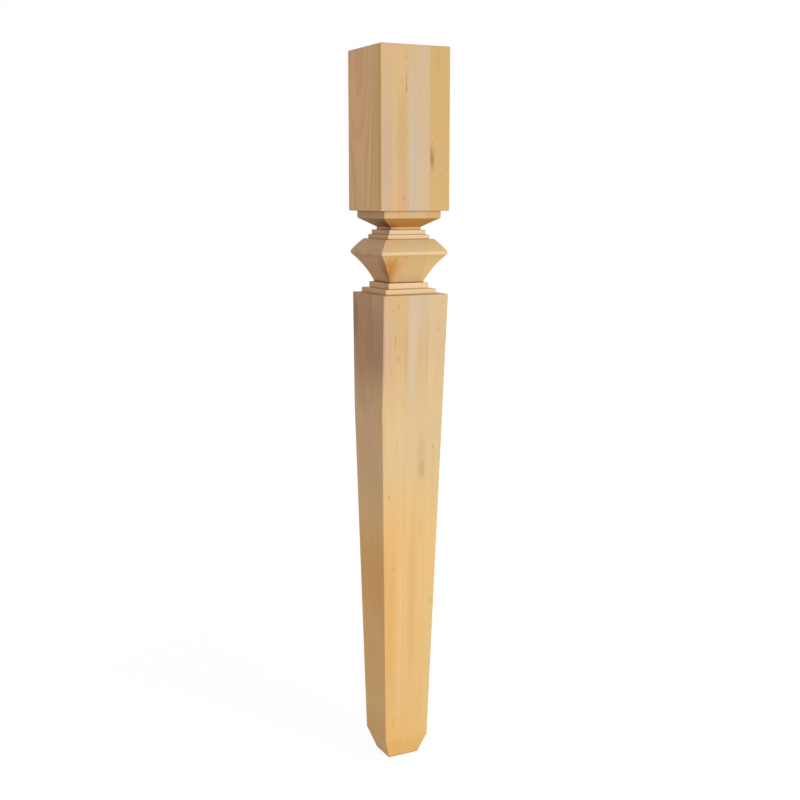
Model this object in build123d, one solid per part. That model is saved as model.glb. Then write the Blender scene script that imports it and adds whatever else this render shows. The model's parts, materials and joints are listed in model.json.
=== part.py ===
from build123d import *
import os

# Tapered square wooden post. Millimetres, Z up. The post stands on Z = 0, its block
# is centred on the Z axis, and its front face looks towards -Y.

# Overall size and the plain block at the top
post_height = 876.3
block_side = 90.0
block_length = 188.0
block_edge_radius = 1.2

# The blank is glued up from three boards that stand side by side along X. The right
# board keeps a little wood at its narrowest place, the neck or the foot, so that it
# runs whole from top to floor, and the middle board fills the space between.
left_board_thickness = 35.4
right_board_least = 0.8

# How far each milling pass runs out past the wood
milling_overrun = 20.0

# Square turning below the block, from the top down: widths across the flats, and
# the height of each member
collar_width = 74.8
collar_height = 8.4
collar_edge_radius = 0.8
bevel_height = 10.7
neck_width = 39.6
neck_height = 3.4
first_step_width = 48.6
first_step_height = 5.5
second_step_width = 55.0
second_step_height = 5.2
shoulder_width = 63.4
upper_slope_height = 14.6
upper_slope_crown = 0.5
ridge_width = 87.2
ridge_land = 3.0
ridge_edge_radius = 0.6
lower_slope_height = 34.1
lower_slope_hollow = 1.9
waist_width = 44.0
third_step_width = 53.4
third_step_height = 7.2
fourth_step_width = 67.2
fourth_step_height = 6.1
turning_arris_easing = 0.5

# Tapered shaft and foot: how far each face lies from the axis of the block at the
# top of the shaft, at the top of the foot and on the floor. The left face runs
# straight for a while before its taper starts.
shaft_top_left = 41.9
shaft_top_right = 44.3
shaft_top_front = 44.4
shaft_top_back = 41.7
left_taper_start = 142.0
foot_height = 26.3
foot_top_left = 31.2
foot_top_right = 27.3
foot_top_front = 26.0
foot_top_back = 30.5
foot_base_left = 22.0
foot_base_right = 19.2
foot_base_front = 16.0
foot_base_back = 20.2
shaft_edge_radius = 0.9

# Levels that follow from the heights above
block_underside = post_height - block_length
collar_underside = block_underside - collar_height
neck_top = collar_underside - bevel_height
first_step_top = neck_top - neck_height
second_step_top = first_step_top - first_step_height
shoulder_level = second_step_top - second_step_height
land_top = shoulder_level - upper_slope_height
land_bottom = land_top - ridge_land
waist_level = land_bottom - lower_slope_height
fourth_step_top = waist_level - third_step_height
shaft_top = fourth_step_top - fourth_step_height
blank_reach = block_side + milling_overrun


def arc_middle(start, end, bow):
    """Middle point of an arc in the XZ plane that bows by bow away from the axis."""
    span_x, span_z = end[0] - start[0], end[1] - start[1]
    span = (span_x**2 + span_z**2) ** 0.5
    middle = ((start[0] + end[0]) / 2, (start[1] + end[1]) / 2)
    lean = -1 if span_x * span_z > 0 else 1
    return (middle[0] + bow * abs(span_z) / span, middle[1] + lean * bow * abs(span_x) / span)


def turning_outline(reach):
    """Outline of the square turning, where reach says how far out a width stands."""
    upper = [
        (collar_width, block_underside),
        (collar_width, collar_underside),
        (neck_width, neck_top),
        (neck_width, first_step_top),
        (first_step_width, first_step_top),
        (first_step_width, second_step_top),
        (second_step_width, second_step_top),
        (second_step_width, shoulder_level),
        (shoulder_width, shoulder_level),
    ]
    lower = [
        (waist_width, waist_level),
        (third_step_width, waist_level),
        (third_step_width, fourth_step_top),
        (fourth_step_width, fourth_step_top),
        (fourth_step_width, shaft_top),
    ]
    half = [(width / 2, level) for width, level in upper]
    ridge_top, ridge_bottom = (ridge_width / 2, land_top), (ridge_width / 2, land_bottom)
    low_half = [(width / 2, level) for width, level in lower]
    crown = arc_middle(half[-1], ridge_top, upper_slope_crown)
    hollow = arc_middle(ridge_bottom, low_half[0], -lower_slope_hollow)
    edges = []
    for side in (1, -1):
        points = [(side * reach(x), 0, z) for x, z in half + [crown, ridge_top, ridge_bottom]]
        ends = [(side * reach(x), 0, z) for x, z in [hollow] + low_half]
        edges += Polyline((0, 0, block_underside), *points[:-3]).edges()
        edges += ThreePointArc(*points[-4:-1]).edges()
        edges += Line(*points[-2:]).edges()
        edges += ThreePointArc(points[-1], *ends[:2]).edges()
        edges += Polyline(*ends[1:], (0, 0, shaft_top)).edges()
    return make_face(edges)


def eased(outline, level, radius):
    """Outline with its outer corners at a level rounded."""
    reach = max(v.X for v in outline.vertices() if abs(v.Z - level) < 0.01)
    corners = [
        v for v in outline.vertices() if abs(v.Z - level) + abs(abs(v.X) - reach) < 0.01
    ]
    return fillet(corners, radius)


def make_turning():
    """Square turning: the same outline from all four sides, with its arrises eased."""
    outline = turning_outline(lambda x: x)
    for level, radius in (
        (collar_underside, collar_edge_radius),
        (land_top, ridge_edge_radius),
        (land_bottom, ridge_edge_radius),
    ):
        outline = eased(outline, level, radius)
    from_front = extrude(outline, blank_reach, dir=(0, 1, 0), both=True)
    corner_outline = turning_outline(lambda x: x * 2**0.5 - turning_arris_easing)
    from_corner = extrude(corner_outline, blank_reach, dir=(0, 1, 0), both=True)
    from_corner = from_corner.rotate(Axis.Z, 45)
    square = from_front & from_front.rotate(Axis.Z, 90)
    return square & from_corner & from_corner.rotate(Axis.Z, 90)


def make_block():
    """Plain block at the top, with eased long edges and an eased top."""
    block = Box(
        block_side, block_side, block_length, align=(Align.CENTER, Align.CENTER, Align.MAX)
    )
    block = Pos(0, 0, post_height) * block
    edges = block.edges().filter_by(Axis.Z) + block.faces().sort_by(Axis.Z)[-1].edges()
    return fillet(edges, block_edge_radius)


def part_way(start, end, share):
    """Value that lies a share of the way from start to end."""
    return start + (end - start) * share


def shaft_section(left, right, front, back, level):
    """Rounded cross-section of the shaft whose faces lie at these distances."""
    outline = RectangleRounded(left + right, front + back, shaft_edge_radius)
    return Pos((right - left) / 2, (back - front) / 2, level) * outline


def make_shaft():
    """Shaft with its own taper on each face, and the foot cut back below it."""
    taper_start = shaft_top - left_taper_start
    share = left_taper_start / (shaft_top - foot_height)
    sections = [
        shaft_section(foot_base_left, foot_base_right, foot_base_front, foot_base_back, 0),
        shaft_section(foot_top_left, foot_top_right, foot_top_front, foot_top_back, foot_height),
        shaft_section(
            shaft_top_left,
            part_way(shaft_top_right, foot_top_right, share),
            part_way(shaft_top_front, foot_top_front, share),
            part_way(shaft_top_back, foot_top_back, share),
            taper_start,
        ),
        shaft_section(
            shaft_top_left, shaft_top_right, shaft_top_front, shaft_top_back, shaft_top
        ),
    ]
    return loft(sections, ruled=True)


def milled_post():
    """The whole post as it leaves the milling machine."""
    return make_block() + make_turning() + make_shaft()


def board(post, from_x, to_x):
    """Share of the post that one board of the blank makes up."""
    slab = Box(to_x - from_x, 2 * blank_reach, 2 * post_height)
    return post & (Pos((from_x + to_x) / 2, 0, post_height / 2) * slab)


left_side = -block_side / 2
first_glue_line = left_side + left_board_thickness
second_glue_line = min(neck_width / 2, foot_base_right) - right_board_least
right_side = block_side / 2

post = milled_post()
boards = {
    "left_board": board(post, left_side - milling_overrun, first_glue_line),
    "middle_board": board(post, first_glue_line, second_glue_line),
    "right_board": board(post, second_glue_line, right_side + milling_overrun),
}

os.makedirs("parts", exist_ok=True)
for name, shape in boards.items():
    export_step(shape, f"parts/{name}.step")
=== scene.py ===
"""Looks of a tapered square wooden post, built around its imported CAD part.

The post is one glued-up blank of three boards, milled to a square turning and a
tapered shaft. Everything is in metres in the part's own frame: +Z up, -Y the front.
"""

from __future__ import annotations

import json
import logging
import math
from dataclasses import dataclass, field
from enum import Enum

import bmesh
import bpy
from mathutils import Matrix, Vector

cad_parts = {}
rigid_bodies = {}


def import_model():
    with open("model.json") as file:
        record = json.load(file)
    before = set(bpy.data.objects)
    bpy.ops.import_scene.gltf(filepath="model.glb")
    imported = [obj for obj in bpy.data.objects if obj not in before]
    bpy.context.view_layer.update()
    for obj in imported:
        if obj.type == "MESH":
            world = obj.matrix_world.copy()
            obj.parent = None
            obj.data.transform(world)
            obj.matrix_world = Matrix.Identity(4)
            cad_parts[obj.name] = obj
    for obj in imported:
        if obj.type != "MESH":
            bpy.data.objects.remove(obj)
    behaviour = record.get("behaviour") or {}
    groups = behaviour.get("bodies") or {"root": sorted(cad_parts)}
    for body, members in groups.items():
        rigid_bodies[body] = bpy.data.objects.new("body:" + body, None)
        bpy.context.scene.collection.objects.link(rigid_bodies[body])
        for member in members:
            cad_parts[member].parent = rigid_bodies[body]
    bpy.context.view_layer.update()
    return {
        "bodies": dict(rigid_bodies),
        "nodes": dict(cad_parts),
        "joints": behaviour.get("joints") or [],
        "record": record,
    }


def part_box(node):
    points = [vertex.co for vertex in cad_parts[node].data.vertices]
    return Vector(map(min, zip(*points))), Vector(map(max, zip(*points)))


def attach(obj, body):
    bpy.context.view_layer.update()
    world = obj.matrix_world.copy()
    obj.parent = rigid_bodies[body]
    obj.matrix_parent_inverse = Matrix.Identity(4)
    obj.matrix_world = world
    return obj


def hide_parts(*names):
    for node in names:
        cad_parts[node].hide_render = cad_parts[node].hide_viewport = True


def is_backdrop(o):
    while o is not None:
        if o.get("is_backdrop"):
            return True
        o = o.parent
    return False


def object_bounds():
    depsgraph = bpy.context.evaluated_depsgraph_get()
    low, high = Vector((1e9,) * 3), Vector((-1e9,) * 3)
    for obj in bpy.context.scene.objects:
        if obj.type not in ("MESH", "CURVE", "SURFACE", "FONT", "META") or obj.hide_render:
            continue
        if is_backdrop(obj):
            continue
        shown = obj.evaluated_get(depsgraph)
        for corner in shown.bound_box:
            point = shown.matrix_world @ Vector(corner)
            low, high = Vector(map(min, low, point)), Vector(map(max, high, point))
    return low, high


LOG = logging.getLogger("post")
MM = 0.001
RING_LENGTHS = ("left", "right", "front", "back", "ease", "level")


class Place(Enum):
    """Which board of the blank a piece is, seen from the front."""

    LEFT = "left_board"
    MIDDLE = "middle_board"
    RIGHT = "right_board"


@dataclass(frozen=True)
class Ring:
    """One level cross-section of the post: face distances and corner radius, in mm.

    pale says how far the edge there is painted paler than the wide faces: partly fresh sanding,
    partly a painted highlight.
    """

    level: float
    left: float
    right: float
    front: float
    back: float
    ease: float
    pale: float = 0.0


@dataclass(frozen=True)
class Member:
    """A corner of the turning's outline: half width, level and rounding, in mm.

    pale is the same as in Ring.
    """

    half: float
    level: float
    round: float = 0.0
    pale: float = 0.0


@dataclass
class PostProfile:
    """Sizes of the milled post in millimetres, from the block down to the foot."""

    height: float
    side: float
    block_length: float = 188.0
    block_ease: float = 1.2
    roll_steps: int = 6
    least_corner: float = 0.03
    under_arris: tuple[tuple[float, float], ...] = ((0.5, 0.0), (0.15, 0.15), (0.0, 0.5))
    collar: tuple[float, float] = (37.4, 8.4)
    bevel_height: float = 10.7
    neck: tuple[float, float] = (19.8, 3.4)
    first_step: tuple[float, float] = (24.3, 5.5)
    second_step: tuple[float, float] = (27.5, 5.2)
    shoulder_half: float = 31.7
    upper_slope_height: float = 14.6
    upper_crown: float = 0.5
    ridge: tuple[float, float] = (43.6, 3.0)
    lower_slope_height: float = 34.1
    lower_hollow: float = 1.9
    waist_half: float = 22.0
    third_step: tuple[float, float] = (26.7, 7.2)
    fourth_step: tuple[float, float] = (33.6, 6.1)
    turning_ease: float = 0.45
    collar_round: float = 0.8
    ridge_round: float = 0.6
    step_round: float = 0.35
    hollow_round: float = 0.3
    shaft_top: tuple[float, float, float, float] = (41.9, 44.3, 44.4, 41.7)
    foot_top: tuple[float, float, float, float] = (31.2, 27.3, 26.0, 30.5)
    foot_base: tuple[float, float, float, float] = (22.0, 19.2, 16.0, 20.2)
    left_taper_start: float = 142.0
    foot_height: float = 26.3
    shaft_ease: float = 0.9
    shaft_arris: tuple[tuple[float, float], ...] = ((0.0, 0.35), (0.1, 0.1), (0.35, 0.0))
    foot_arris: float = 0.45
    # How much paler the steps and the ridge are painted: partly fresh sanding, partly a painted
    # highlight
    step_pale: float = 1.0
    ridge_pale: float = 0.8
    ridge_hold: float = 1.1

    def rings(self) -> list[Ring]:
        """All cross-sections from the top of the block down to the floor.

        Returns:
            The rings in order, the first on the top face and the last on the floor.
        """
        rings = self._block_rings()
        turning, shaft_top = self._turning_rings()
        return rings + turning + self._shaft_rings(shaft_top)

    def turning_span(self) -> tuple[float, float]:
        """Levels between which the square turning lies.

        Returns:
            The top of the shaft and the underside of the block.
        """
        return self._turning_rings()[1], self.height - self.block_length

    def _block_rings(self) -> list[Ring]:
        """Rings of the plain block, with its top edge rolled over.

        Returns:
            The rings from the top face down to the block's underside.
        """
        half, ease, rings = self.side / 2, self.block_ease, []
        for step in range(self.roll_steps + 1):
            turn = math.radians(90 - 90 / self.roll_steps * step)
            reach = half - ease + ease * math.cos(turn)
            level = self.height - ease + ease * math.sin(turn)
            corner = max(ease * math.cos(turn), self.least_corner)
            rings.append(Ring(level, reach, reach, reach, reach, corner))
        low = self.height - self.block_length
        for lift, inset in self.under_arris:
            reach = half - inset
            rings.append(Ring(low + lift, reach, reach, reach, reach, ease))
        return rings

    def _turning_rings(self) -> tuple[list[Ring], float]:
        """Rings of the square turning.

        Returns:
            The rings from the collar to the last step, and the level they end on.
        """
        level = self.height - self.block_length
        nodes: list[Member] = [Member(self.collar[0], level)]
        level -= self.collar[1]
        nodes.append(Member(self.collar[0], level, self.collar_round))
        level -= self.bevel_height
        nodes.append(Member(self.neck[0], level, self.hollow_round))
        for half, drop in (self.neck, self.first_step, self.second_step):
            if half != self.neck[0]:
                nodes.append(Member(half, level, self.step_round, self.step_pale))
            level -= drop
            nodes.append(Member(half, level, 0.0, self.step_pale))
        shoulder = Member(self.shoulder_half, level, self.hollow_round)
        level -= self.upper_slope_height
        nodes.append(shoulder)
        ridge_high = Member(self.ridge[0], level)
        nodes += self._bowed(shoulder, ridge_high, self.upper_crown, self.ridge_hold)
        nodes.append(Member(self.ridge[0], level, self.ridge_round, self.ridge_pale))
        level -= self.ridge[1]
        ridge_low = Member(self.ridge[0], level, self.ridge_round, self.ridge_pale)
        level -= self.lower_slope_height
        waist = Member(self.waist_half, level)
        nodes.append(ridge_low)
        nodes += self._bowed(waist, ridge_low, self.lower_hollow, self.ridge_hold)[::-1]
        nodes.append(waist)
        for half, drop in (self.third_step, self.fourth_step):
            nodes.append(Member(half, level, self.step_round, self.step_pale))
            level -= drop
            nodes.append(Member(half, level, 0.0, self.step_pale))
        rings = []
        for member in self._rounded(nodes):
            reach, ease = member.half, self.turning_ease
            rings.append(Ring(member.level, reach, reach, reach, reach, ease, member.pale))
        return rings, level

    def _shaft_rings(self, top: float) -> list[Ring]:
        """Rings of the tapered shaft and its foot.

        Args:
            top: Level of the top of the shaft.

        Returns:
            The rings from the top of the shaft to the floor.
        """
        rings = []
        for drop, inset in self.shaft_arris:
            faces = tuple(reach - inset for reach in self.shaft_top)
            rings.append(Ring(top - drop, *faces, self.shaft_ease))
        for drop in (self.left_taper_start, top - self.foot_height):
            share = drop / (top - self.foot_height)
            left_share = max(drop - self.left_taper_start, 0.0)
            left_share /= top - self.foot_height - self.left_taper_start
            shares = (left_share, share, share, share)
            faces = tuple(
                high + (low - high) * part
                for high, low, part in zip(self.shaft_top, self.foot_top, shares)
            )
            rings.append(Ring(top - drop, *faces, self.shaft_ease))
        base = tuple(reach - self.foot_arris for reach in self.foot_base)
        rings.append(Ring(self.foot_arris, *self.foot_base, self.shaft_ease))
        rings.append(Ring(0.0, *base, self.shaft_ease))
        return rings

    @staticmethod
    def _bowed(start: Member, end: Member, bow: float, hold: float) -> list[Member]:
        """Points between two members along a shallow arc.

        Args:
            start: Where the arc begins.
            end: Where it ends.
            bow: How far it bows to its left, as seen from the start.
            hold: How close to the end the last point lies.

        Returns:
            The points between the two ends.
        """
        run, rise = end.half - start.half, end.level - start.level
        span = math.hypot(run, rise)
        points = []
        for share in (*(step / 10 for step in range(1, 10)), 1 - hold / span):
            lift = bow * 4 * share * (1 - share)
            half = start.half + run * share - rise / span * lift
            points.append(Member(half, start.level + rise * share + run / span * lift))
        return points

    @staticmethod
    def _rounded(nodes: list[Member]) -> list[Member]:
        """Outline with each member's corner rounded by its own radius.

        Args:
            nodes: The corners in order.

        Returns:
            The outline's points, with four points for each rounded corner.
        """
        points: list[Member] = []
        for index, node in enumerate(nodes):
            if not node.round or index in (0, len(nodes) - 1):
                points.append(node)
                continue
            here = Vector((node.half, node.level))
            before = Vector((nodes[index - 1].half, nodes[index - 1].level)) - here
            after = Vector((nodes[index + 1].half, nodes[index + 1].level)) - here
            reach = min(node.round, before.length * 0.45, after.length * 0.45)
            first, last = before.normalized() * reach, after.normalized() * reach
            for share in (0.0, 0.3, 0.7, 1.0):
                keep = (1 - share) ** 2
                spot = here + first * keep + last * share**2
                points.append(Member(spot.x, spot.y, 0.0, node.pale))
        return points


class TreeKit:
    """Short ways to add and join nodes in a geometry or shader tree."""

    def __init__(self, tree: bpy.types.NodeTree) -> None:
        """Keep the tree that nodes go into.

        Args:
            tree: The tree to build in.
        """
        self.tree = tree

    def node(self, kind: str, **settings: object) -> bpy.types.Node:
        """Add a node and set its plain settings.

        Args:
            kind: Blender's name of the node type.
            settings: Attributes of the node, by name.

        Returns:
            The new node.
        """
        node = self.tree.nodes.new(kind)
        for name, value in settings.items():
            setattr(node, name, value)
        return node

    def feed(self, socket: bpy.types.NodeSocket, value: object) -> None:
        """Join an output to a socket, or set the socket to a constant.

        Args:
            socket: The input that takes the value.
            value: An output socket or a constant; None leaves the socket alone.
        """
        if isinstance(value, bpy.types.NodeSocket):
            self.tree.links.new(value, socket)
        elif value is not None:
            socket.default_value = value

    def math(self, operation: str, *values: object, clamp: bool = False) -> bpy.types.NodeSocket:
        """Add a Math node.

        Args:
            operation: The node's operation.
            values: Its inputs, sockets or numbers.
            clamp: Whether the result stays within 0 and 1.

        Returns:
            The result.
        """
        node = self.node("ShaderNodeMath", operation=operation, use_clamp=clamp)
        for socket, value in zip(node.inputs, values):
            self.feed(socket, value)
        return node.outputs[0]

    def vector(self, operation: str, *values: object, out: int = 0) -> bpy.types.NodeSocket:
        """Add a Vector Math node.

        Args:
            operation: The node's operation.
            values: Its inputs, sockets or vectors.
            out: Which output to hand back.

        Returns:
            The result.
        """
        node = self.node("ShaderNodeVectorMath", operation=operation)
        for socket, value in zip(node.inputs, values):
            self.feed(socket, value)
        return node.outputs[out]

    def join(self, x: object = 0.0, y: object = 0.0, z: object = 0.0) -> bpy.types.NodeSocket:
        """Put three numbers together as a vector.

        Args:
            x: First number or socket.
            y: Second number or socket.
            z: Third number or socket.

        Returns:
            The vector.
        """
        node = self.node("ShaderNodeCombineXYZ")
        for socket, value in zip(node.inputs, (x, y, z)):
            self.feed(socket, value)
        return node.outputs[0]

    def split(self, vector: object) -> tuple[bpy.types.NodeSocket, ...]:
        """Take a vector apart.

        Args:
            vector: The vector's socket.

        Returns:
            Its X, Y and Z.
        """
        node = self.node("ShaderNodeSeparateXYZ")
        self.feed(node.inputs[0], vector)
        return tuple(node.outputs)

    def pick(self, switch: object, off: object, on: object) -> bpy.types.NodeSocket:
        """Choose between two numbers.

        Args:
            switch: 0 for the first and 1 for the second.
            off: The first number.
            on: The second number.

        Returns:
            The chosen number.
        """
        return self.math(
            "ADD",
            self.math("MULTIPLY", self.math("SUBTRACT", 1.0, switch), off),
            self.math("MULTIPLY", switch, on),
        )


@dataclass
class BoardMill(TreeKit):
    """Geometry Nodes tree that mills one board out of the ring table of the post."""

    corner_points: int = 8
    hold: float = 0.4 * MM
    crease_deg: float = 14.0
    slant: float = 0.05
    overrun: float = 0.02
    slab_depth: float = 0.5
    slab_height: float = 4.0
    sockets: dict[str, str] = field(default_factory=dict)

    def __post_init__(self) -> None:
        """Build the tree once, with named inputs for the sizes."""
        tree = bpy.data.node_groups.new("board_mill", "GeometryNodeTree")
        TreeKit.__init__(self, tree)
        face = tree.interface
        face.new_socket("Rings", in_out="INPUT", socket_type="NodeSocketGeometry")
        for name in ("From X", "To X"):
            made = face.new_socket(name, in_out="INPUT", socket_type="NodeSocketFloat")
            self.sockets[name] = made.identifier
        made = face.new_socket("Wood", in_out="INPUT", socket_type="NodeSocketMaterial")
        self.sockets["Wood"] = made.identifier
        face.new_socket("Board", in_out="OUTPUT", socket_type="NodeSocketGeometry")
        self._build()

    def _sample(self, rings: object, name: str, row: object) -> bpy.types.NodeSocket:
        """Read one column of the ring table.

        Args:
            rings: The table's geometry.
            name: The column.
            row: Which ring.

        Returns:
            The value of that ring.
        """
        node = self.node("GeometryNodeSampleIndex", data_type="FLOAT", domain="POINT")
        node.clamp = True
        self.feed(node.inputs["Geometry"], rings)
        self.feed(node.inputs["Value"], self._stored(name))
        self.feed(node.inputs["Index"], row)
        return node.outputs["Value"]

    def _build(self) -> None:
        """Lay out the whole tree."""
        entry = self.node("NodeGroupInput")
        rings = entry.outputs["Rings"]
        size = self.node("GeometryNodeAttributeDomainSize", component="MESH")
        self.feed(size.inputs["Geometry"], rings)
        rows = size.outputs["Point Count"]
        per_corner = self.corner_points + 2
        around = 4 * per_corner
        tube = self.node("GeometryNodeMeshCylinder", fill_type="NGON")
        tube.inputs["Vertices"].default_value = around
        last_row = self.math("SUBTRACT", rows, 1.0)
        self.feed(tube.inputs["Side Segments"], last_row)
        tube.inputs["Radius"].default_value = 1.0
        tube.inputs["Depth"].default_value = 1.0

        place = self.node("GeometryNodeInputPosition").outputs[0]
        x, y, z = self.split(place)
        row = self.math("ROUND", self.math("MULTIPLY", self.math("SUBTRACT", 0.5, z), last_row))
        turn = self.math("DIVIDE", self.math("ARCTAN2", y, x), 2 * math.pi)
        spot = self.math("ROUND", self.math("MULTIPLY", self.math("FRACT", turn), float(around)))
        spot = self.math("FLOORED_MODULO", spot, float(around))
        corner = self.math("DIVIDE", self.math("ADD", spot, 0.5), float(per_corner))
        corner = self.math("FLOOR", corner)
        local = self.math("SUBTRACT", spot, self.math("MULTIPLY", corner, float(per_corner)))
        corner_turn = self.math("MULTIPLY", corner, math.pi / 2)
        arc = self.math(
            "DIVIDE", self.math("SUBTRACT", local, 1.0), float(self.corner_points - 1), clamp=True
        )
        angle = self.math("ADD", corner_turn, self.math("MULTIPLY", arc, math.pi / 2))

        values = {
            name: self._sample(rings, name, row)
            for name in (*RING_LENGTHS, "pale")
        }
        to_left = self.math(
            "MULTIPLY",
            self.math("GREATER_THAN", corner, 0.5),
            self.math("LESS_THAN", corner, 2.5),
        )
        to_front = self.math("GREATER_THAN", corner, 1.5)
        sign_x = self.math("SUBTRACT", 1.0, self.math("MULTIPLY", to_left, 2.0))
        sign_y = self.math("SUBTRACT", 1.0, self.math("MULTIPLY", to_front, 2.0))
        reach_x = self.pick(to_left, values["right"], values["left"])
        reach_y = self.pick(to_front, values["back"], values["front"])
        ease = values["ease"]
        centre = self.join(
            self.math("MULTIPLY", sign_x, self.math("SUBTRACT", reach_x, ease)),
            self.math("MULTIPLY", sign_y, self.math("SUBTRACT", reach_y, ease)),
            values["level"],
        )
        round_part = self.vector(
            "SCALE", self.join(self.math("COSINE", angle), self.math("SINE", angle))
        )
        self.feed(round_part.node.inputs["Scale"], ease)
        first = self.math("LESS_THAN", local, 0.5)
        last = self.math("GREATER_THAN", local, per_corner - 1.5)
        cos, sin = self.math("COSINE", corner_turn), self.math("SINE", corner_turn)
        first_x, last_x = self.math("MULTIPLY", first, sin), self.math("MULTIPLY", last, cos)
        first_y, last_y = self.math("MULTIPLY", first, cos), self.math("MULTIPLY", last, sin)
        first_y = self.math("MULTIPLY", first_y, -1.0)
        hold = self.join(
            self.math("SUBTRACT", first_x, last_x), self.math("SUBTRACT", first_y, last_y)
        )
        hold = self.vector("SCALE", hold)
        hold.node.inputs["Scale"].default_value = self.hold
        spot_at = self.vector("ADD", self.vector("ADD", centre, round_part), hold)

        # Each ring's pale goes onto its faces: a paler edge, partly sanding and partly a painted
        # highlight
        kept = self._store(tube.outputs["Mesh"], "pale_row", values["pale"], "POINT")
        kept = self._store(kept, "sanded_highlight", self._stored("pale_row"), "FACE")
        shaped = self.node("GeometryNodeSetPosition")
        self.feed(shaped.inputs["Geometry"], kept)
        self.feed(shaped.inputs["Position"], spot_at)
        self._finish(entry, shaped.outputs["Geometry"])

    def _store(
        self, geometry: object, name: str, value: object, domain: str, kind: str = "FLOAT"
    ) -> bpy.types.NodeSocket:
        """Keep a value in the mesh under a name.

        Args:
            geometry: The mesh.
            name: Name of the attribute.
            value: What is stored.
            domain: Which part of the mesh it belongs to.
            kind: Its data type.

        Returns:
            The mesh with the attribute.
        """
        node = self.node("GeometryNodeStoreNamedAttribute", data_type=kind, domain=domain)
        self.feed(node.inputs["Geometry"], geometry)
        node.inputs["Name"].default_value = name
        self.feed(node.inputs["Value"], value)
        return node.outputs["Geometry"]

    def _stored(self, name: str) -> bpy.types.NodeSocket:
        """Read a value kept in the mesh.

        Args:
            name: Name of the attribute.

        Returns:
            Its value.
        """
        node = self.node("GeometryNodeInputNamedAttribute", data_type="FLOAT")
        node.inputs["Name"].default_value = name
        return node.outputs["Attribute"]

    def _finish(self, entry: bpy.types.Node, whole: bpy.types.NodeSocket) -> None:
        """Cut the board out of the whole post, crease it and give it its wood.

        Args:
            entry: The tree's input node.
            whole: The whole milled post.
        """
        low, high = entry.outputs["From X"], entry.outputs["To X"]
        slab = self.node("GeometryNodeMeshCube")
        width = self.math("SUBTRACT", high, low)
        size = self.join(width, self.slab_depth, self.slab_height)
        self.feed(slab.inputs["Size"], size)
        moved = self.node("GeometryNodeTransform")
        self.feed(moved.inputs["Geometry"], slab.outputs["Mesh"])
        middle = self.math("MULTIPLY", self.math("ADD", high, low), 0.5)
        self.feed(moved.inputs["Translation"], self.join(middle, 0.0, 0.0))
        cut = self.node("GeometryNodeMeshBoolean", operation="INTERSECT", solver="EXACT")
        many = cut.inputs["Mesh 2"]
        self.feed(many, whole)
        self.feed(many, moved.outputs["Geometry"])
        angle = self.node("GeometryNodeInputMeshEdgeAngle").outputs["Unsigned Angle"]
        crease = self.math("GREATER_THAN", angle, math.radians(self.crease_deg))
        marked = self._store(cut.outputs["Mesh"], "sharp_edge", crease, "EDGE", "BOOLEAN")
        across, along, tilt = self.split(self.node("GeometryNodeInputNormal").outputs[0])
        across, along = self.math("ABSOLUTE", across), self.math("ABSOLUTE", along)
        marked = self._store(marked, "tilt", tilt, "FACE")
        marked = self._store(marked, "flat_sawn", across, "FACE")
        slanted = self.math("GREATER_THAN", self.math("MINIMUM", across, along), self.slant)
        marked = self._store(marked, "slanted", slanted, "FACE")
        marked = self._store(marked, "arris", self._stored("slanted"), "POINT")
        smooth = self.node("GeometryNodeSetShadeSmooth", domain="FACE")
        self.feed(smooth.inputs["Geometry"], marked)
        real = self.node("GeometryNodeRealizeInstances")
        self.feed(real.inputs["Geometry"], smooth.outputs["Geometry"])
        wood = self.node("GeometryNodeSetMaterial")
        self.feed(wood.inputs["Geometry"], real.outputs["Geometry"])
        self.feed(wood.inputs["Material"], entry.outputs["Wood"])
        end = self.node("NodeGroupOutput")
        self.feed(end.inputs["Board"], wood.outputs["Geometry"])

    def mill(
        self,
        name: str,
        rings: list[Ring],
        span: tuple[float, float],
        wood: bpy.types.Material,
    ) -> bpy.types.Object:
        """Mill one board as a plain mesh.

        Args:
            name: Name of the new piece.
            rings: The post's cross-sections.
            span: Where the board begins and ends along X, in metres.
            wood: Its material.

        Returns:
            The finished board, linked to the scene.
        """
        rail = bpy.data.meshes.new(f"{name}_rings")
        rail.from_pydata([(0, 0, r.level * MM) for r in rings], [], [])
        for column in RING_LENGTHS:
            layer = rail.attributes.new(column, "FLOAT", "POINT")
            layer.data.foreach_set("value", [getattr(r, column) * MM for r in rings])
        layer = rail.attributes.new("pale", "FLOAT", "POINT")
        layer.data.foreach_set("value", [r.pale for r in rings])
        holder = bpy.data.objects.new(f"{name}_blank", rail)
        bpy.context.scene.collection.objects.link(holder)
        modifier = holder.modifiers.new("mill", "NODES")
        modifier.node_group = self.tree
        modifier[self.sockets["From X"]] = span[0]
        modifier[self.sockets["To X"]] = span[1]
        modifier[self.sockets["Wood"]] = wood
        graph = bpy.context.evaluated_depsgraph_get()
        mesh = bpy.data.meshes.new_from_object(holder.evaluated_get(graph))
        bpy.data.objects.remove(holder)
        bpy.data.meshes.remove(rail)
        mesh.name = name
        board = bpy.data.objects.new(name, mesh)
        bpy.context.scene.collection.objects.link(board)
        return board


@dataclass(frozen=True)
class Tone:
    """A colour written as it looks on screen, from 0 to 255."""

    red: int
    green: int
    blue: int

    def linear(self) -> tuple[float, float, float, float]:
        """Colour as the shader takes it.

        Returns:
            Linear red, green and blue, and an alpha of 1.
        """
        steps = [value / 255 for value in (self.red, self.green, self.blue)]
        parts = [s / 12.92 if s <= 0.04045 else ((s + 0.055) / 1.055) ** 2.4 for s in steps]
        return (parts[0], parts[1], parts[2], 1.0)


@dataclass(frozen=True)
class Mark:
    """A soft patch of another tone in the wood: a band, a stain, a fleck or a pin knot.

    Its middle and its reach along X, Y and Z are in millimetres.
    """

    tone: Tone
    middle: tuple[float, float, float]
    reach: tuple[float, float, float]
    depth: float = 0.6


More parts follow.
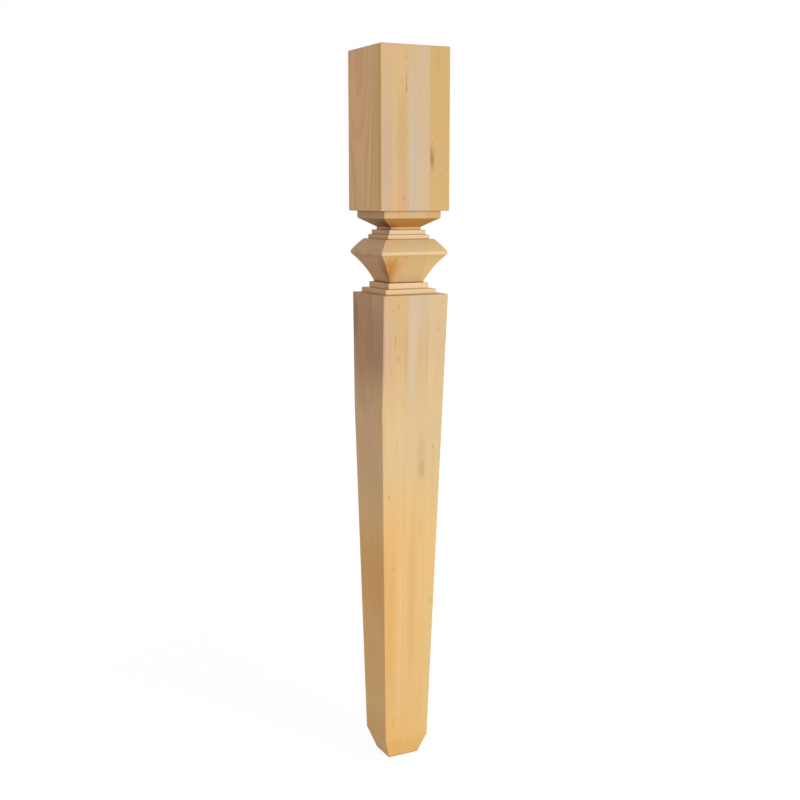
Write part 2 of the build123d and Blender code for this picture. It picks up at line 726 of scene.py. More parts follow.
@dataclass(frozen=True)
class WoodFinish:
    """Sanded, unfinished pale hardwood of one board: tones, rings and figure.

    The tone of the head holds down to head_end and fades there into the middle one,
    and at foot_start into that of the foot. The late tone of the rings multiplies
    what lies there. pith is where the centre of the tree lies at the floor, and lean
    how far it moves for each millimetre up. edge_grain is how much of the rings
    shows on the front and back, and low_grain how much shows below the two levels
    of bold_levels. Lengths and levels are in millimetres.
    """

    name: str
    head: Tone
    middle: Tone
    foot: Tone
    late: Tone
    head_end: float
    pith: tuple[float, float]
    lean: tuple[float, float]
    ring: float
    ring_depth: float
    figure: float
    seed: float
    foot_start: float = 340.0
    fade: float = 60.0
    edge_grain: float = 0.22
    low_grain: float = 0.4
    bold_levels: tuple[float, float] = (560.0, 700.0)
    marks: tuple[Mark, ...] = ()


@dataclass(frozen=True)
class Grain:
    """A layer of noise: grains for each millimetre along X, Y and Z.

    detail is how many finer layers it has, and offset moves the pattern, so that no
    two look alike.
    """

    scale: tuple[float, float, float]
    detail: float
    offset: float


PITH_WANDER = Grain((0.006, 0.006, 0.0032), 2.0, 3.1)
RING_WAVE = Grain((0.05, 0.05, 0.009), 2.0, 7.7)
STAIN_EDGE = Grain((0.16, 0.05, 0.012), 2.0, 12.0)
FLECK_EDGE = Grain((0.9, 0.9, 0.16), 2.0, 15.0)
FIBRE = Grain((2.4, 2.4, 0.035), 4.0, 1.3)
BAND = Grain((0.30, 0.30, 0.0045), 3.0, 5.9)
SOFT_BAND = Grain((0.10, 0.035, 0.0032), 2.0, 9.2)
CLOUD = Grain((0.045, 0.03, 0.009), 2.0, 21.0)


@dataclass(frozen=True)
class FaceTint:
    """Factors for red, green and blue on one kind of face.

    flank is for faces that look to the left or the right, and front for the others,
    or for all where there is no flank.
    """

    front: tuple[float, float, float]
    flank: tuple[float, float, float] | None = None


END_GRAIN_TINT = FaceTint((0.90, 0.82, 0.70))
# Painted shade on the flanks of the turning
TURNING_FLANK_SHADE = FaceTint((1.0, 1.0, 1.0), (0.90, 0.81, 0.78))
# Painted shade on the downward bevel, partly the deeper tone of its end grain, darker still on its
# flanks
BEVEL_SHADE = FaceTint((0.76, 0.52, 0.21), (0.50, 0.36, 0.21))
# Painted light on the front of the lower slope and painted shade on its flanks
LOWER_SLOPE_LIGHT_SHADE = FaceTint((1.08, 1.07, 1.0), (0.93, 0.81, 0.76))
# Painted light on the upper slope
UPPER_SLOPE_LIGHT = FaceTint((1.10, 1.12, 1.20), (1.10, 1.13, 1.30))
# Warmer tone of the foot's front, with painted shade on the foot's flanks
FOOT_TINT_AND_SHADE = FaceTint((1.02, 0.98, 0.86), (0.89, 0.82, 0.80))
# Painted highlight along the arrises, partly standing for burnished edges
ARRIS_HIGHLIGHT = FaceTint((1.10, 1.09, 1.04))
# Paler sanded edges, partly a painted highlight
SANDED_EDGE_AND_HIGHLIGHT = Tone(245, 214, 168)
# Painted shade in the inner corners
CORNER_SHADE = Tone(124, 74, 34)
GLUE_JOINT = Tone(150, 104, 60)


class WoodMaterial(TreeKit):
    """Solid procedural wood, read from the piece's own Object coordinates."""

    # How far noise moves the pith and the rings, in millimetres, and the part of a
    # year over which latewood builds up
    pith_play: float = 26.0
    ring_play: float = 4.0
    latewood: tuple[float, float] = (0.35, 0.95)
    grain_roughness: float = 0.55
    # How ragged the marks are, how they fade out, and which are small enough to be
    # flecks
    stain_play: float = 0.9
    fleck_play: float = 1.3
    mark_edge: tuple[float, float] = (1.25, 0.25)
    fleck_reach: float = 3.0
    # How much fibre, bands and years lighten or darken the wood
    fibre_shade: float = 0.12
    band_shade: float = 0.08
    year_shade: float = 0.03
    # Kinds of face, by how far they look up or down or to the side, which pick where painted light
    # and shade go, besides the end grain and the rings
    end_grain_tilt: tuple[float, float] = (0.7, 0.95)
    bevel_tilt: tuple[float, float] = (-0.62, -0.86)
    lower_slope_tilt: tuple[float, float] = (-0.42, -0.5)
    upper_slope_tilt: tuple[float, float] = (0.42, 0.5)
    level_tilt: tuple[float, float] = (0.7, 0.8)
    flank_turn: tuple[float, float] = (0.2, 0.5)
    flat_sawn_turn: tuple[float, float] = (0.92, 0.98)
    end_cut_tilt: tuple[float, float] = (0.9, 0.98)
    foot_tint_levels: tuple[float, float] = (75.0, 5.0)
    turning_edge: float = 0.3
    # Painted highlight on the arrises, partly burnished; paler sanded edges, partly a painted
    # highlight; painted shade in the corners; and the glue joints
    arris_highlight_depth: float = 0.8
    sanded_highlight_share: tuple[float, float] = (0.55, 0.9)
    sanded_highlight_depth: float = 0.75
    flank_highlight_loss: float = 0.55
    corner_shade_reach: float = 1.8 * MM
    corner_shade_share: tuple[float, float] = (0.90, 0.45)
    corner_shade_depth: float = 0.85
    joint_reach: tuple[float, float] = (0.35, 0.05)
    joint_depth: float = 0.16
    # Surface
    roughness: float = 0.56
    roughness_play: float = 0.2
    specular: float = 0.35
    bump_strength: float = 0.16
    bump_height: float = 0.2 * MM
    late_height: float = 0.25

    def __init__(
        self,
        finish: WoodFinish,
        glue_lines: tuple[float, ...],
        turning: tuple[float, float],
    ) -> None:
        """Build the material.

        Args:
            finish: The board's tones and figure.
            glue_lines: Where the board meets its neighbours along X, in metres.
            turning: Levels between which the square turning lies, in millimetres.
        """
        self.material = bpy.data.materials.new(finish.name)
        self.material.use_nodes = True
        super().__init__(self.material.node_tree)
        self.tree.nodes.clear()
        self.finish = finish
        self.glue_lines = glue_lines
        self.turning = turning
        self._build()

    def noise(
        self, point: object, grain: Grain, output: str = "Fac"
    ) -> bpy.types.NodeSocket:
        """Add a noise texture.

        Args:
            point: Position in millimetres.
            grain: Its stretch, detail and offset.
            output: Which output to hand back.

        Returns:
            The noise.
        """
        spot = self.vector("MULTIPLY", point, grain.scale)
        shift = self.finish.seed + grain.offset
        moved = self.vector("ADD", spot, (shift, shift * 1.7, shift * 0.6))
        node = self.node("ShaderNodeTexNoise", noise_dimensions="3D")
        self.feed(node.inputs["Vector"], moved)
        node.inputs["Scale"].default_value = 1.0
        node.inputs["Detail"].default_value = grain.detail
        node.inputs["Roughness"].default_value = self.grain_roughness
        return node.outputs[output]

    def centred(self, value: object, reach: float) -> bpy.types.NodeSocket:
        """Turn a noise around 0.5 into one around 0.

        Args:
            value: The noise.
            reach: What it is multiplied by.

        Returns:
            The centred noise.
        """
        return self.math("MULTIPLY", self.math("SUBTRACT", value, 0.5), reach)

    def ramp(self, value: object, low: float, high: float) -> bpy.types.NodeSocket:
        """Smooth step from 0 at low to 1 at high.

        Args:
            value: What is looked up.
            low: Where the step begins.
            high: Where it ends.

        Returns:
            A number from 0 to 1.
        """
        node = self.node("ShaderNodeMapRange", interpolation_type="SMOOTHSTEP")
        self.feed(node.inputs["Value"], value)
        node.inputs["From Min"].default_value = low
        node.inputs["From Max"].default_value = high
        return node.outputs["Result"]

    def blend(
        self, share: object, first: object, second: object, how: str = "MIX"
    ) -> bpy.types.NodeSocket:
        """Mix two colours.

        Args:
            share: How much of the second.
            first: The first colour.
            second: The second colour.
            how: The blend type.

        Returns:
            The mixed colour.
        """
        node = self.node("ShaderNodeMix", data_type="RGBA", blend_type=how)
        self.feed(node.inputs["Factor"], share)
        self.feed(node.inputs[6], first)
        self.feed(node.inputs[7], second)
        return node.outputs[2]

    def kept(self, name: str) -> bpy.types.NodeSocket:
        """Read a value that the mill kept in the mesh.

        Args:
            name: Name of the attribute.

        Returns:
            Its value.
        """
        return self.node("ShaderNodeAttribute", attribute_name=name).outputs["Fac"]

    def tinted(self, colour: object, tint: object) -> bpy.types.NodeSocket:
        """Multiply a colour by a tint.

        Args:
            colour: The colour.
            tint: Its factors, as a socket, a vector or a colour.

        Returns:
            The tinted colour.
        """
        return self.blend(1.0, colour, tint, "MULTIPLY")

    def _rings(self, point: object) -> tuple[bpy.types.NodeSocket, bpy.types.NodeSocket]:
        """Growth rings around a leaning, wandering pith.

        Args:
            point: Position in millimetres.

        Returns:
            How much latewood there is, and a tint for each ring around 0.
        """
        f = self.finish
        x, y, z = self.split(point)
        wander_x, wander_y, _ = self.split(self.noise(point, PITH_WANDER, "Color"))
        close = self.noise(point, RING_WAVE)
        rise_x = self.math("MULTIPLY", z, f.lean[0])
        rise_y = self.math("MULTIPLY", z, f.lean[1])
        away_x = self.math("SUBTRACT", self.math("SUBTRACT", x, f.pith[0]), rise_x)
        away_y = self.math("SUBTRACT", self.math("SUBTRACT", y, f.pith[1]), rise_y)
        away_x = self.math("ADD", away_x, self.centred(wander_x, self.pith_play))
        away_y = self.math("ADD", away_y, self.centred(wander_y, self.pith_play))
        reach = self.vector("LENGTH", self.join(away_x, away_y, 0.0), out=1)
        reach = self.math("ADD", reach, self.centred(close, self.ring_play))
        phase = self.math("DIVIDE", reach, f.ring)
        part = self.math("FRACT", phase)
        late = self.math(
            "MULTIPLY",
            self.ramp(part, *self.latewood),
            self.math("SUBTRACT", 1.0, self.ramp(part, self.latewood[1], 1.0)),
        )
        year = self.node("ShaderNodeTexWhiteNoise", noise_dimensions="1D")
        self.feed(year.inputs["W"], self.math("FLOOR", phase))
        end_cut = self.ramp(self.math("ABSOLUTE", self.kept("tilt")), *self.end_cut_tilt)
        broad_side = self.ramp(self.kept("flat_sawn"), *self.flat_sawn_turn)
        open_face = self.math("MAXIMUM", broad_side, end_cut)
        share = self.pick(open_face, f.edge_grain, 1.0)
        bold = self.math("ADD", self.math("MULTIPLY", year.outputs["Value"], 0.8), 0.2)
        low = self.pick(self.ramp(z, *f.bold_levels), f.low_grain, 1.0)
        share = self.math("MULTIPLY", share, low)
        strength = self.math("MULTIPLY", self.math("MULTIPLY", late, bold), share)
        return strength, self.math("SUBTRACT", year.outputs["Value"], 0.5)

    def _marked(self, point: object, colour: object) -> bpy.types.NodeSocket:
        """Lay the board's bands, stains, flecks and knots over its colour.

        Args:
            point: Position in millimetres.
            colour: The plain wood.

        Returns:
            The marked wood.
        """
        coarse = self.centred(self.noise(point, STAIN_EDGE), self.stain_play)
        fine = self.centred(self.noise(point, FLECK_EDGE), self.fleck_play)
        for mark in self.finish.marks:
            away = self.vector("SUBTRACT", point, mark.middle)
            away = self.vector("DIVIDE", away, mark.reach)
            far = self.vector("LENGTH", away, out=1)
            ragged = fine if mark.reach[0] < self.fleck_reach else coarse
            far = self.math("ADD", far, ragged)
            near = self.math("MULTIPLY", self.ramp(far, *self.mark_edge), mark.depth)
            colour = self.blend(near, colour, mark.tone.linear())
        return colour

    def _end_grain_and_painted_light(self, colour: object, z: object) -> bpy.types.NodeSocket:
        """Deepen the end grain, paint light and shade by facing, and pale the sanded edges with a
        painted highlight.

        Args:
            colour: The wood so far.
            z: Level in millimetres.

        Returns:
            The wood with its end grain, its painted light and shade, and its paler edges.
        """
        tilt = self.kept("tilt")
        side = self.ramp(self.kept("flat_sawn"), *self.flank_turn)
        (low, high), edge = self.turning, self.turning_edge
        above, below = self.ramp(z, low - edge, low + edge), self.ramp(z, high + edge, high - edge)
        turned = self.math("MULTIPLY", above, below)
        bevel = self.ramp(tilt, *self.bevel_tilt)
        lower = self.math("SUBTRACT", self.ramp(tilt, *self.lower_slope_tilt), bevel)
        level = self.ramp(tilt, *self.level_tilt)
        upper = self.math("SUBTRACT", self.ramp(tilt, *self.upper_slope_tilt), level)
        arris = self.math("MULTIPLY", self.kept("arris"), self.arris_highlight_depth)
        # The end grain is the wood's own darker tone; the rest paints shade on the turning's
        # flanks, the bevel and the flanks of slopes and foot, and light on the slope fronts
        for share, tint in (
            (self.ramp(tilt, *self.end_grain_tilt), END_GRAIN_TINT),
            (turned, TURNING_FLANK_SHADE),
            (bevel, BEVEL_SHADE),
            (lower, LOWER_SLOPE_LIGHT_SHADE),
            (upper, UPPER_SLOPE_LIGHT),
            (self.ramp(z, *self.foot_tint_levels), FOOT_TINT_AND_SHADE),
            (arris, ARRIS_HIGHLIGHT),
        ):
            factors = (*tint.front, 1.0)
            if tint.flank is not None:
                factors = self.blend(side, factors, (*tint.flank, 1.0))
            colour = self.blend(share, colour, self.tinted(colour, factors))
        # Steps, ridge and turned arrises are painted paler, partly fresh sanding and partly a
        # painted highlight, less so on the shaded flanks
        sanded_highlight = self.ramp(self.kept("sanded_highlight"), *self.sanded_highlight_share)
        pale_highlight = self.math("MAXIMUM", sanded_highlight, self.math("MULTIPLY", turned, arris))
        loss = self.math("MULTIPLY", side, self.flank_highlight_loss)
        depth = self.math("SUBTRACT", self.sanded_highlight_depth, loss)
        pale_highlight = self.math("MULTIPLY", pale_highlight, depth)
        return self.blend(pale_highlight, colour, SANDED_EDGE_AND_HIGHLIGHT.linear())

    def _toned(self, point: object, z: object, band: object) -> bpy.types.NodeSocket:
        """Run the board's tones from the head to the foot, with bands and clouds.

        Args:
            point: Position in millimetres.
            z: Level in millimetres.
            band: Noise of the fine bands.

        Returns:
            The plain wood.
        """
        f = self.finish
        high = self.ramp(z, f.head_end - f.fade, f.head_end + f.fade)
        colour = self.blend(high, f.middle.linear(), f.head.linear())
        low = self.ramp(z, f.foot_start + f.fade, f.foot_start - f.fade)
        colour = self.blend(low, colour, f.foot.linear())
        soft = self.centred(self.noise(point, SOFT_BAND), f.figure)
        warmth = self.math("ADD", soft, self.centred(band, 0.5))
        warmth = self.math("ADD", warmth, 0.5, clamp=True)
        cool, warm = (1.01, 1.01, 1.06, 1.0), (0.99, 0.965, 0.88, 1.0)
        colour = self.tinted(colour, self.blend(warmth, cool, warm))
        cloud = self.centred(self.noise(point, CLOUD), 2.2)
        hue = self.math("ADD", cloud, 0.5, clamp=True)
        rosy, olive = (1.02, 0.985, 0.96, 1.0), (0.975, 1.0, 0.965, 1.0)
        return self.tinted(colour, self.blend(hue, rosy, olive))

    def _corner_shade_and_joints(self, colour: object, x: object) -> bpy.types.NodeSocket:
        """Paint shade into the inner corners and darken the glue joints.

        Args:
            colour: The wood so far.
            x: Place along X in millimetres.

        Returns:
            The finished colour.
        """
        # Painted shade: ambient occlusion darkens the inner corners
        corner_occlusion = self.node("ShaderNodeAmbientOcclusion", samples=8, only_local=False)
        corner_occlusion.inputs["Distance"].default_value = self.corner_shade_reach
        corner = self.ramp(corner_occlusion.outputs["AO"], *self.corner_shade_share)
        corner = self.math("MULTIPLY", corner, self.corner_shade_depth)
        colour = self.blend(corner, colour, CORNER_SHADE.linear())
        joint: object = 0.0
        for line in self.glue_lines:
            away = self.math("ABSOLUTE", self.math("SUBTRACT", x, line / MM))
            joint = self.math("MAXIMUM", joint, self.ramp(away, *self.joint_reach))
        joint = self.math("MULTIPLY", joint, self.joint_depth)
        return self.blend(joint, colour, GLUE_JOINT.linear())

    def _build(self) -> None:
        """Lay out the whole material."""
        f = self.finish
        coordinates = self.node("ShaderNodeTexCoord").outputs["Object"]
        point = self.vector("MULTIPLY", coordinates, (1 / MM, 1 / MM, 1 / MM))
        x, _, z = self.split(point)
        late, year = self._rings(point)
        fibre, band = self.noise(point, FIBRE), self.noise(point, BAND)
        colour = self._marked(point, self._toned(point, z, band))
        dark = self.tinted(colour, f.late.linear())
        colour = self.blend(self.math("MULTIPLY", late, f.ring_depth), colour, dark)
        fibre_shade = self.centred(fibre, self.fibre_shade)
        shade = self.math("ADD", fibre_shade, self.centred(band, self.band_shade))
        shade = self.math("ADD", shade, self.math("MULTIPLY", year, self.year_shade))
        shade = self.math("ADD", shade, 1.0)
        colour = self.tinted(colour, self.join(shade, shade, shade))
        colour = self._corner_shade_and_joints(self._end_grain_and_painted_light(colour, z), x)

        bump = self.node("ShaderNodeBump")
        bump.inputs["Strength"].default_value = self.bump_strength
        bump.inputs["Distance"].default_value = self.bump_height
        height = self.math("ADD", fibre, self.math("MULTIPLY", late, self.late_height))
        self.feed(bump.inputs["Height"], height)
        shader = self.node("ShaderNodeBsdfPrincipled")
        self.feed(shader.inputs["Base Color"], colour)
        rough = self.math("ADD", self.centred(fibre, self.roughness_play), self.roughness)
        self.feed(shader.inputs["Roughness"], rough)
        self.feed(shader.inputs["Normal"], bump.outputs["Normal"])
        shader.inputs["Specular IOR Level"].default_value = self.specular
        end = self.node("ShaderNodeOutputMaterial")
        self.feed(end.inputs["Surface"], shader.outputs[0])


@dataclass
class Post:
    """The three boards of the glued-up blank, milled and dressed."""

    finishes: dict[Place, WoodFinish]
    slots: dict[Place, str]

    def build(self) -> list[bpy.types.Object]:
        """Mill every board and put it in place of its CAD node.

        Returns:
            The finished boards.
        """
        low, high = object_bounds()
        profile = PostProfile(height=high.z / MM, side=(high.x - low.x) / MM)
        rings = profile.rings()
        mill = BoardMill()
        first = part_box(Place.LEFT.value)[1][0]
        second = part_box(Place.RIGHT.value)[0][0]
        reach = high.x + mill.overrun
        spans = {
            Place.LEFT: (-reach, first),
            Place.MIDDLE: (first, second),
            Place.RIGHT: (second, reach),
        }
        boards = []
        for place, span in spans.items():
            lines = tuple(edge for edge in span if abs(edge) < high.x)
            wood = WoodMaterial(self.finishes[place], lines, profile.turning_span()).material
            board = mill.mill(f"milled_{place.value}", rings, span, wood)
            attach(board, "root")
            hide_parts(place.value)
            self._report(board)
            boards.append(board)
        return boards

    @staticmethod
    def _report(board: bpy.types.Object) -> None:
        """Log a board's size and whether its skin is closed.

        Args:
            board: The finished board.
        """
        check = bmesh.new()
        check.from_mesh(board.data)
        open_edges = sum(1 for edge in check.edges if not edge.is_manifold)
        volume = check.calc_volume(signed=True)
        check.free()
        LOG.info(
            "%s: %d faces, %d open edges, %.1f cm3",
            board.name,
            len(board.data.polygons),
            open_edges,
            volume * 1e6,
        )


@dataclass(frozen=True)
class SoftBox:
    """A square lamp that looks at a point of the post."""

    name: str
    place: tuple[float, float, float]
    target: tuple[float, float, float]
    size: float
    power: float
    tint: tuple[float, float, float] = (1.0, 1.0, 1.0)

    def light(self) -> bpy.types.Object:
        """Make the lamp.

        Returns:
            The lamp, linked to the scene.
        """
        data = bpy.data.lights.new(self.name, "AREA")
        data.shape, data.size = "SQUARE", self.size
        data.energy, data.color = self.power, self.tint
        lamp = bpy.data.objects.new(self.name, data)
        lamp.location = self.place
        way = Vector(self.target) - Vector(self.place)
        lamp.rotation_euler = way.to_track_quat("-Z", "Y").to_euler()
        bpy.context.scene.collection.objects.link(lamp)
        return lamp


@dataclass
class Studio:
    """Pale floor, plain soft light and the camera of the photograph."""

    lamps: tuple[SoftBox, ...]
    world_level: float = 0.5
    camera_away: float = 1.46692
    camera_height: float = 0.70445
    camera_turn_deg: float = 26.76
    aim_turn_deg: float = 26.83
    camera_pitch_deg: float = 9.54
    lens: float = 54.354
    sensor: float = 36.0
    floor_reach: float = 12.0
    floor_tone: float = 0.78
    floor_plain_reach: float = 0.5
    floor_fade: float = 2.0
    floor_glow: float = 0.885
    floor_far_glow: float = 0.04
    floor_shadow_share: float = 0.26

    def build(self) -> None:
        """Set up the floor, the world, the lamps and the camera."""
        self._floor()
        self._world()
        for lamp in self.lamps:
            lamp.light()
            LOG.info("lamp %s", lamp.name)
        self._camera()

    def _seen_white(self, kit: TreeKit) -> bpy.types.NodeSocket:
        """Find rays that show the background, straight or in a reflection.

        Args:
            kit: The tree to build in.

        Returns:
            1 for such rays.
        """
        path = kit.node("ShaderNodeLightPath")
        seen = kit.math(
            "MAXIMUM", path.outputs["Is Camera Ray"], path.outputs["Is Glossy Ray"]
        )
        return kit.math("MAXIMUM", seen, path.outputs["Is Transmission Ray"])

    def _floor(self) -> None:
        """Lay a pale floor that looks white and keeps a light shadow."""
        mesh = bpy.data.meshes.new("pale_floor")
        reach = self.floor_reach
        corners = [(-reach, -reach, 0), (reach, -reach, 0), (reach, reach, 0), (-reach, reach, 0)]
        mesh.from_pydata(corners, [], [(0, 1, 2, 3)])
        floor = bpy.data.objects.new("pale_floor", mesh)
        bpy.context.scene.collection.objects.link(floor)
        material = bpy.data.materials.new("pale_floor")
        material.use_nodes = True
        kit = TreeKit(material.node_tree)
        kit.tree.nodes.clear()
        matte = kit.node("ShaderNodeBsdfDiffuse")
        matte.inputs["Color"].default_value = (*(self.floor_tone,) * 3, 1.0)
        place = kit.node("ShaderNodeTexCoord").outputs["Object"]
        away = kit.vector("LENGTH", place, out=1)
        past = kit.math("SUBTRACT", away, self.floor_plain_reach)
        far = kit.math("DIVIDE", past, self.floor_fade, clamp=True)
        white = kit.node("ShaderNodeEmission")
        glow = kit.math("ADD", kit.math("MULTIPLY", far, self.floor_far_glow), self.floor_glow)
        kit.feed(white.inputs["Strength"], glow)
        thin = kit.node("ShaderNodeMixShader")
        thin.inputs[0].default_value = self.floor_shadow_share
        kit.feed(thin.inputs[2], matte.outputs[0])
        seen = kit.node("ShaderNodeAddShader")
        kit.feed(seen.inputs[0], thin.outputs[0])
        kit.feed(seen.inputs[1], white.outputs[0])
        mix = kit.node("ShaderNodeMixShader")
        kit.feed(mix.inputs[0], self._seen_white(kit))
        kit.feed(mix.inputs[1], matte.outputs[0])
        kit.feed(mix.inputs[2], seen.outputs[0])
        end = kit.node("ShaderNodeOutputMaterial")
        kit.feed(end.inputs["Surface"], mix.outputs[0])
        mesh.materials.append(material)
        floor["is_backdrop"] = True

    def _world(self) -> None:
        """Give the room an even light and a white look."""
        world = bpy.data.worlds.new("pale_room")
        bpy.context.scene.world = world
        world.use_nodes = True
        kit = TreeKit(world.node_tree)
        kit.tree.nodes.clear()
        room = kit.node("ShaderNodeBackground")
        room.inputs["Color"].default_value = (1.0, 1.0, 1.0, 1.0)
        room.inputs["Strength"].default_value = self.world_level
        seen = kit.node("ShaderNodeBackground")
        seen.inputs["Color"].default_value = (1.0, 1.0, 1.0, 1.0)
        seen.inputs["Strength"].default_value = 1.0
        mix = kit.node("ShaderNodeMixShader")
        kit.feed(mix.inputs[0], self._seen_white(kit))
        kit.feed(mix.inputs[1], room.outputs[0])
        kit.feed(mix.inputs[2], seen.outputs[0])
        end = kit.node("ShaderNodeOutputWorld")
        kit.feed(end.inputs["Surface"], mix.outputs[0])

    def _camera(self) -> None:
        """Put the camera where the photograph was taken from."""
        data = bpy.data.cameras.new("camera")
        data.lens, data.sensor_width = self.lens, self.sensor
        camera = bpy.data.objects.new("camera", data)
        turn = math.radians(self.camera_turn_deg)
        aim = math.radians(self.aim_turn_deg)
        pitch = math.radians(self.camera_pitch_deg)
        away = self.camera_away
        camera.location = (-math.sin(turn) * away, -math.cos(turn) * away, self.camera_height)
        way = Vector(
            (
                math.sin(aim) * math.cos(pitch),
                math.cos(aim) * math.cos(pitch),
                -math.sin(pitch),
            )
        )
        camera.rotation_euler = way.to_track_quat("-Z", "Y").to_euler()
        bpy.context.scene.collection.objects.link(camera)
        bpy.context.scene.camera = camera


def clear_scene() -> None:
    """Remove whatever the new file came with."""
    for thing in list(bpy.data.objects):
        bpy.data.objects.remove(thing)


FLECK = Tone(168, 122, 70)
KNOT = Tone(156, 114, 60)


def left_marks() -> tuple[Mark, ...]:
    """Bands, stains and flecks of the left board.

    Returns:
        The marks, the broad ones first.
    """
    return (
        Mark(Tone(250, 197, 134), (-47.0, 0.0, 800.0), (4.0, 90.0, 400.0), 0.8),
        Mark(Tone(229, 178, 130), (-43.0, 0.0, 400.0), (7.0, 90.0, 130.0), 0.7),
        Mark(Tone(250, 190, 140), (-47.0, 18.0, 800.0), (4.0, 26.0, 110.0), 0.7),
        Mark(Tone(226, 174, 114), (-46.0, -42.0, 750.0), (5.0, 12.0, 160.0), 0.6),
        Mark(Tone(240, 180, 113), (-38.0, 0.0, 125.0), (7.0, 60.0, 110.0), 0.8),
        Mark(Tone(210, 173, 146), (-37.0, -46.0, 752.0), (7.0, 9.0, 125.0), 0.9),
        Mark(Tone(217, 180, 150), (-39.0, -45.0, 530.0), (10.0, 9.0, 62.0), 0.75),
        Mark(Tone(209, 170, 112), (-18.0, -46.0, 775.0), (9.0, 9.0, 60.0), 0.8),
        Mark(Tone(216, 168, 120), (-17.0, -46.0, 700.0), (9.0, 9.0, 50.0), 0.7),
        Mark(Tone(226, 181, 124), (-45.5, -46.0, 845.0), (5.0, 9.0, 90.0), 0.8),
        # A darker patch high on the shaft's left face
        Mark(Tone(178, 127, 91), (-44.0, 0.0, 545.0), (5.0, 90.0, 105.0), 0.9),
        Mark(Tone(150, 108, 84), (-43.0, 40.0, 560.0), (5.0, 16.0, 34.0), 0.55),
        Mark(Tone(212, 170, 108), (-10.5, -43.0, 520.0), (3.0, 7.0, 42.0), 0.6),
        Mark(Tone(200, 138, 48), (-30.0, -31.0, 619.0), (16.0, 14.0, 25.0), 0.85),
        Mark(Tone(186, 128, 64), (-29.0, -22.0, 613.0), (9.0, 9.0, 20.0), 0.8),
        # Painted shade on the bevel's left flank, near the front arris
        Mark(Tone(150, 104, 62), (-24.0, -18.0, 672.0), (14.0, 12.0, 10.0), 0.7),
        Mark(Tone(240, 182, 104), (-27.0, -33.0, 190.0), (7.0, 20.0, 130.0), 0.8),
        Mark(Tone(245, 201, 138), (-14.0, -30.0, 165.0), (5.0, 20.0, 160.0), 0.7),
        Mark(Tone(234, 172, 94), (-39.0, -6.0, 232.0), (7.0, 60.0, 78.0), 0.85),
        Mark(FLECK, (-12.5, -45.0, 834.0), (0.8, 3.0, 12.0), 0.6),
        Mark(FLECK, (-12.4, -45.0, 826.0), (1.3, 3.0, 3.5), 0.6),
        Mark(FLECK, (-12.8, -45.0, 862.0), (0.9, 3.0, 4.0), 0.4),
        Mark(FLECK, (-18.2, -45.0, 834.0), (0.8, 3.0, 4.0), 0.3),
        Mark(FLECK, (-27.8, -45.0, 764.0), (0.8, 3.0, 8.0), 0.3),
        Mark(FLECK, (-14.8, -45.0, 702.0), (1.0, 3.0, 3.5), 0.6),
        Mark(FLECK, (-11.8, -42.0, 635.0), (1.0, 4.0, 2.0), 0.4),
        Mark(FLECK, (-22.1, -44.0, 577.0), (1.1, 3.0, 4.5), 0.6),
        Mark(FLECK, (-25.5, -42.5, 535.0), (0.8, 3.0, 8.5), 0.5),
        Mark(FLECK, (-21.1, -42.0, 514.0), (1.2, 3.0, 3.5), 0.6),
        Mark(FLECK, (-30.2, -41.5, 499.0), (0.9, 3.0, 3.0), 0.3),
        Mark(FLECK, (-13.3, -40.5, 459.0), (1.0, 3.0, 4.0), 0.35),
        Mark(FLECK, (-21.6, -39.0, 409.0), (0.7, 3.0, 9.0), 0.35),
        Mark(FLECK, (-31.0, -37.0, 346.0), (1.2, 3.0, 4.5), 0.4),
        Mark(FLECK, (-23.8, -33.4, 253.0), (0.9, 3.0, 3.5), 0.55),
        Mark(FLECK, (-20.9, -27.0, 52.0), (0.7, 3.0, 9.0), 0.45),
        Mark(FLECK, (-41.0, -40.0, 528.0), (2.0, 2.0, 4.0), 0.5),
        Mark(FLECK, (-41.0, 2.0, 404.0), (3.0, 1.6, 7.0), 0.35),
    )


def middle_marks() -> tuple[Mark, ...]:
    """Bands and stains of the middle board.

    Returns:
        The marks, the broad ones first.
    """
    return (
        Mark(Tone(213, 184, 147), (10.0, -46.0, 790.0), (14.0, 9.0, 170.0), 0.9),
        Mark(Tone(205, 187, 161), (-4.0, -46.0, 735.0), (8.0, 9.0, 130.0), 0.9),
        Mark(Tone(217, 192, 158), (4.0, -45.0, 574.0), (18.0, 9.0, 40.0), 0.7),
        Mark(Tone(218, 193, 160), (-2.5, -45.0, 520.0), (8.0, 9.0, 95.0), 0.85),
        Mark(Tone(232, 183, 110), (1.5, -34.0, 215.0), (6.0, 20.0, 120.0), 0.75),
        Mark(Tone(217, 184, 134), (12.0, -38.0, 395.0), (8.0, 12.0, 32.0), 0.8),
        Mark(Tone(206, 170, 116), (11.8, -38.0, 378.0), (5.0, 9.0, 11.0), 0.7),
        Mark(Tone(222, 182, 118), (13.3, -35.0, 301.0), (4.0, 8.0, 14.0), 0.5),
        Mark(FLECK, (-9.0, -36.0, 305.0), (0.7, 3.0, 12.0), 0.3),
    )


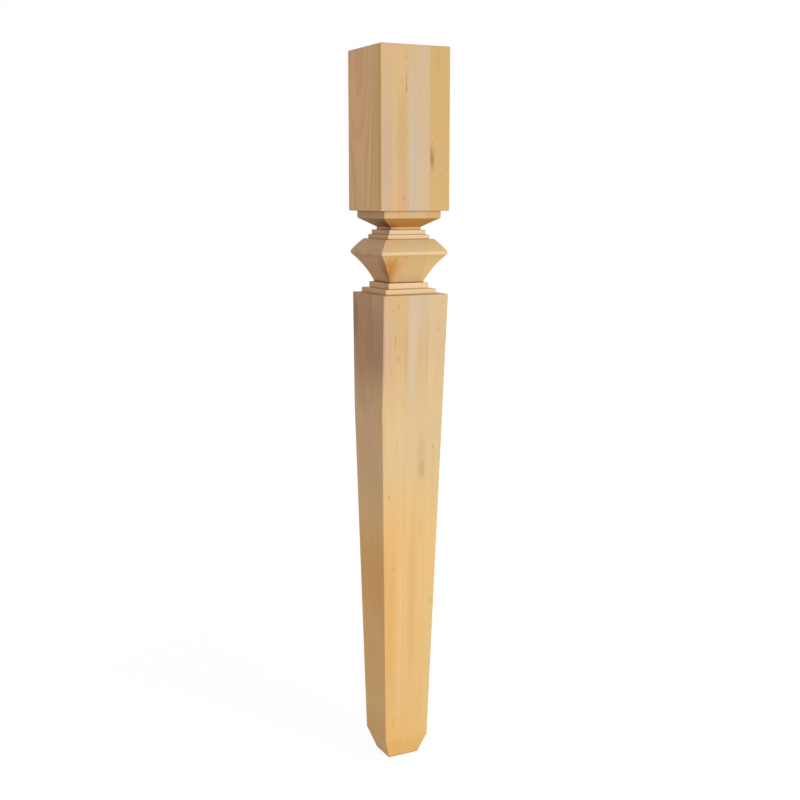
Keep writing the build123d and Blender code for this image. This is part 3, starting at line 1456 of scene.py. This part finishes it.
def right_marks() -> tuple[Mark, ...]:
    """Bands, knots and flecks of the right board.

    Returns:
        The marks, the broad ones first.
    """
    return (
        Mark(Tone(222, 188, 141), (33.0, -45.0, 545.0), (20.0, 14.0, 80.0), 0.85),
        Mark(Tone(232, 186, 130), (47.0, 0.0, 780.0), (4.0, 90.0, 420.0), 0.8),
        Mark(Tone(236, 190, 130), (40.0, 14.0, 200.0), (9.0, 60.0, 190.0), 0.7),
        Mark(Tone(218, 170, 110), (39.0, -45.0, 772.0), (4.5, 14.0, 30.0), 0.6),
        Mark(Tone(204, 163, 98), (28.0, -45.0, 862.0), (4.0, 9.0, 16.0), 0.6),
        Mark(Tone(192, 150, 88), (21.2, -45.0, 748.0), (4.6, 6.0, 18.0), 0.7),
        Mark(KNOT, (21.2, -45.0, 747.0), (2.3, 5.0, 8.0), 0.8),
        Mark(KNOT, (19.6, -45.0, 757.0), (0.9, 3.0, 9.0), 0.6),
        Mark(FLECK, (27.6, -45.0, 774.0), (1.3, 3.0, 3.5), 0.35),
        Mark(FLECK, (34.5, -45.0, 729.0), (1.0, 3.0, 3.5), 0.55),
        Mark(FLECK, (31.2, -43.0, 548.0), (1.0, 3.0, 4.5), 0.35),
        Mark(FLECK, (27.2, -38.5, 405.0), (0.8, 3.0, 4.0), 0.45),
        Mark(FLECK, (28.4, -32.0, 206.0), (1.0, 3.0, 5.0), 0.35),
    )


def finishes() -> dict[Place, WoodFinish]:
    """Wood of the three boards.

    Returns:
        A finish for each board.
    """
    return {
        Place.LEFT: WoodFinish(
            name="peach_maple",
            head=Tone(221, 184, 133),
            middle=Tone(233, 200, 148),
            foot=Tone(240, 194, 125),
            late=Tone(208, 184, 160),
            head_end=475.0,
            pith=(72.0, 4.0),
            lean=(-0.035, 0.006),
            ring=3.6,
            ring_depth=0.55,
            figure=1.2,
            seed=2.3,
            marks=left_marks(),
        ),
        Place.MIDDLE: WoodFinish(
            name="cream_maple",
            head=Tone(219, 186, 138),
            middle=Tone(230, 198, 148),
            foot=Tone(240, 197, 130),
            late=Tone(212, 190, 168),
            head_end=480.0,
            pith=(120.0, 14.0),
            lean=(0.02, 0.01),
            ring=3.3,
            ring_depth=0.4,
            figure=1.2,
            seed=11.8,
            marks=middle_marks(),
        ),
        Place.RIGHT: WoodFinish(
            name="golden_maple",
            head=Tone(214, 177, 114),
            middle=Tone(228, 197, 146),
            foot=Tone(239, 200, 135),
            late=Tone(212, 186, 156),
            head_end=650.0,
            pith=(-70.0, -6.0),
            lean=(0.03, -0.008),
            ring=3.4,
            ring_depth=0.6,
            figure=1.2,
            seed=23.4,
            marks=right_marks(),
        ),
    }


def main() -> dict:
    """Build the post and its studio; each board's size is logged as it is milled.

    Returns:
        The loaded frame.
    """
    logging.basicConfig(level=logging.INFO, format="%(name)s: %(message)s")
    clear_scene()
    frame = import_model()
    bpy.context.scene.view_settings.view_transform = "Standard"
    slots = {
        Place.LEFT: "pale_hardwood",
        Place.MIDDLE: "cream_hardwood",
        Place.RIGHT: "golden_hardwood",
    }
    Post(finishes(), slots).build()
    Studio(
        lamps=(
            SoftBox("key", (1.1, -2.8, 0.6), (0.0, 0.0, 0.42), 1.6, 50.0),
            SoftBox("side", (-2.6, -0.4, 0.6), (0.0, 0.0, 0.4), 1.2, 2.0),
        )
    ).build()
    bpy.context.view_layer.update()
    return frame


if __name__ == "__main__":
    main()
